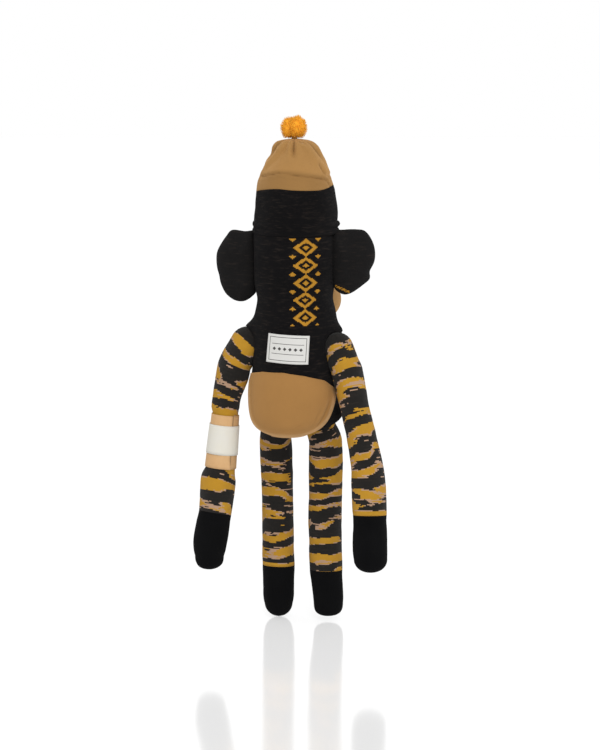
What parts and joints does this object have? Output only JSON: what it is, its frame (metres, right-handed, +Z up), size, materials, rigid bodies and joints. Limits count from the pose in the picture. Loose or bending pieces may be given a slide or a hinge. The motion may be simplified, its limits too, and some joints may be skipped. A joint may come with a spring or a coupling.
{
  "type": "sock monkey doll",
  "caption": "Slim stuffed sock monkey doll with tube body, long striped limbs, round ears, knit cap with a pompom and a paper sleeve round one forearm.",
  "frame": {"origin": "bottom centre of the doll's box at rest, level with the left sole", "axes": "+Z up along the body; the doll faces -Y, with its left side at +X"},
  "size_m": [0.1858, 0.1276, 0.5022],
  "materials": {
    "black_knit": "fine black stocking knit with faint brown flecks, matt",
    "tan_knit": "fine tan stocking knit, matt",
    "striped_knit": "jacquard knit in ochre with ragged black bands and thin pink-beige edges, matt",
    "toe_knit": "dense deep black knit, matt",
    "stuffing": "loose white polyester fibre",
    "woven_label": "white woven ribbon",
    "black_yarn": "black cotton yarn",
    "brown_thread": "dark brown sewing thread",
    "cream_felt": "cream wool felt",
    "black_button": "glossy black plastic",
    "gold_wool": "cut golden yarn, fluffy",
    "kraft_paper": "smooth brown kraft card",
    "white_paper": "uncoated white paper"
  },
  "bodies": {
    "torso": {"torso_skin": "black_knit", "seat_skin": "tan_knit", "torso_stuffing": "stuffing", "back_label": "woven_label", "neck": "black_knit"},
    "head": {"head_skin": "black_knit", "head_stuffing": "stuffing", "muzzle_skin": "tan_knit", "muzzle_stuffing": "stuffing", "mouth_stitch": "black_yarn", "left_eye_felt": "cream_felt", "left_eye_button": "black_button", "right_eye_felt": "cream_felt", "right_eye_button": "black_button", "hat_band": "black_knit", "hat_crown": "tan_knit", "hat_brim": "black_knit", "pompom_tie": "brown_thread"},
    "pompom": {"pompom": "gold_wool"},
    "left_ear": {"left_ear": "black_knit", "left_ear_stuffing": "stuffing"},
    "right_ear": {"right_ear": "black_knit", "right_ear_stuffing": "stuffing"},
    "left_shoulder": {"left_shoulder": "striped_knit"},
    "left_upper_arm": {"left_upper_arm": "striped_knit", "left_upper_arm_stuffing": "stuffing", "left_elbow": "striped_knit"},
    "left_forearm": {"left_forearm": "striped_knit", "left_forearm_stuffing": "stuffing", "left_hand": "toe_knit"},
    "paper_band": {"paper_band": "kraft_paper", "paper_band_label": "white_paper"},
    "right_shoulder": {"right_shoulder": "striped_knit"},
    "right_upper_arm": {"right_upper_arm": "striped_knit", "right_upper_arm_stuffing": "stuffing", "right_elbow": "striped_knit"},
    "right_forearm": {"right_forearm": "striped_knit", "right_forearm_stuffing": "stuffing", "right_hand": "toe_knit"},
    "left_hip": {"left_hip": "striped_knit"},
    "left_thigh": {"left_thigh": "striped_knit", "left_thigh_stuffing": "stuffing", "left_knee": "striped_knit"},
    "left_shin": {"left_shin": "striped_knit", "left_shin_stuffing": "stuffing", "left_foot": "toe_knit"},
    "right_hip": {"right_hip": "striped_knit"},
    "right_thigh": {"right_thigh": "striped_knit", "right_thigh_stuffing": "stuffing", "right_knee": "striped_knit"},
    "right_shin": {"right_shin": "striped_knit", "right_shin_stuffing": "stuffing", "right_foot": "toe_knit"}
  },
  "joints": [
    {"name": "neck_nod", "type": "hinge", "parent": "torso", "child": "head", "pos_m": [0.00062, 0.01503, 0.303], "axis": [1, 0, 0], "range_deg": [-20, 12], "stiffness_Nm_per_rad": 1.5, "deforming": ["neck"]},
    {"name": "left_ear_flop", "type": "hinge", "parent": "head", "child": "left_ear", "pos_m": [0.0393, 0.01343, 0.3605], "axis": [0, 0, 1], "range_deg": [-20, 20], "stiffness_Nm_per_rad": 0.05},
    {"name": "right_ear_flop", "type": "hinge", "parent": "head", "child": "right_ear", "pos_m": [-0.03804, 0.01343, 0.3605], "axis": [0, 0, 1], "range_deg": [-20, 20], "stiffness_Nm_per_rad": 0.05},
    {"name": "pompom_tilt", "type": "hinge", "parent": "head", "child": "pompom", "pos_m": [0.00062, 0.01343, 0.4795], "axis": [1, 0, 0], "range_deg": [-12, 12], "stiffness_Nm_per_rad": 0.01},
    {"name": "left_shoulder_swing", "type": "hinge", "parent": "torso", "child": "left_shoulder", "pos_m": [0.04602, 0.01816, 0.286], "axis": [-1, 0, 0], "range_deg": [-40, 100], "stiffness_Nm_per_rad": 0.2},
    {"name": "left_shoulder_spread", "type": "hinge", "parent": "left_shoulder", "child": "left_upper_arm", "pos_m": [0.04602, 0.01816, 0.286], "axis": [0, -1, 0], "range_deg": [0, 65], "stiffness_Nm_per_rad": 0.2},
    {"name": "left_elbow_bend", "type": "hinge", "parent": "left_upper_arm", "child": "left_forearm", "pos_m": [0.06436, 0.02451, 0.23533], "axis": [-1, 0, 0], "range_deg": [0, 90], "stiffness_Nm_per_rad": 0.15, "deforming": ["left_elbow"]},
    {"name": "band_turn", "type": "hinge", "parent": "left_forearm", "child": "paper_band", "pos_m": [0.06818, 0.02902, 0.19022], "axis": [0.0783, 0.0925, -0.9926], "range_deg": [-90, 90]},
    {"name": "right_shoulder_swing", "type": "hinge", "parent": "torso", "child": "right_shoulder", "pos_m": [-0.04381, 0.02602, 0.286], "axis": [-1, 0, 0], "range_deg": [-40, 100], "stiffness_Nm_per_rad": 0.2},
    {"name": "right_shoulder_spread", "type": "hinge", "parent": "right_shoulder", "child": "right_upper_arm", "pos_m": [-0.04381, 0.02602, 0.286], "axis": [0, 1, 0], "range_deg": [0, 65], "stiffness_Nm_per_rad": 0.2},
    {"name": "right_elbow_bend", "type": "hinge", "parent": "right_upper_arm", "child": "right_forearm", "pos_m": [-0.06159, 0.0323, 0.2345], "axis": [-1, 0, 0], "range_deg": [0, 90], "stiffness_Nm_per_rad": 0.15, "deforming": ["right_elbow"]},
    {"name": "left_hip_spread", "type": "hinge", "parent": "torso", "child": "left_hip", "pos_m": [0.02213, -0.00557, 0.204], "axis": [0, -1, 0], "range_deg": [0, 30], "stiffness_Nm_per_rad": 0.3},
    {"name": "left_hip_swing", "type": "hinge", "parent": "left_hip", "child": "left_thigh", "pos_m": [0.02213, -0.00557, 0.204], "axis": [-1, 0, 0], "range_deg": [-15, 85], "stiffness_Nm_per_rad": 0.3},
    {"name": "left_knee_bend", "type": "hinge", "parent": "left_thigh", "child": "left_shin", "pos_m": [0.02417, -0.01888, 0.1192], "axis": [1, 0, 0], "range_deg": [0, 90], "stiffness_Nm_per_rad": 0.15, "deforming": ["left_knee"]},
    {"name": "right_hip_spread", "type": "hinge", "parent": "torso", "child": "right_hip", "pos_m": [-0.02087, -0.00557, 0.204], "axis": [0, 1, 0], "range_deg": [0, 30], "stiffness_Nm_per_rad": 0.3},
    {"name": "right_hip_swing", "type": "hinge", "parent": "right_hip", "child": "right_thigh", "pos_m": [-0.02087, -0.00557, 0.204], "axis": [-1, 0, 0], "range_deg": [-15, 85], "stiffness_Nm_per_rad": 0.3},
    {"name": "right_knee_bend", "type": "hinge", "parent": "right_thigh", "child": "right_shin", "pos_m": [-0.02291, -0.01888, 0.12069], "axis": [1, 0, 0], "range_deg": [0, 90], "stiffness_Nm_per_rad": 0.15, "deforming": ["right_knee"]}
  ]
}
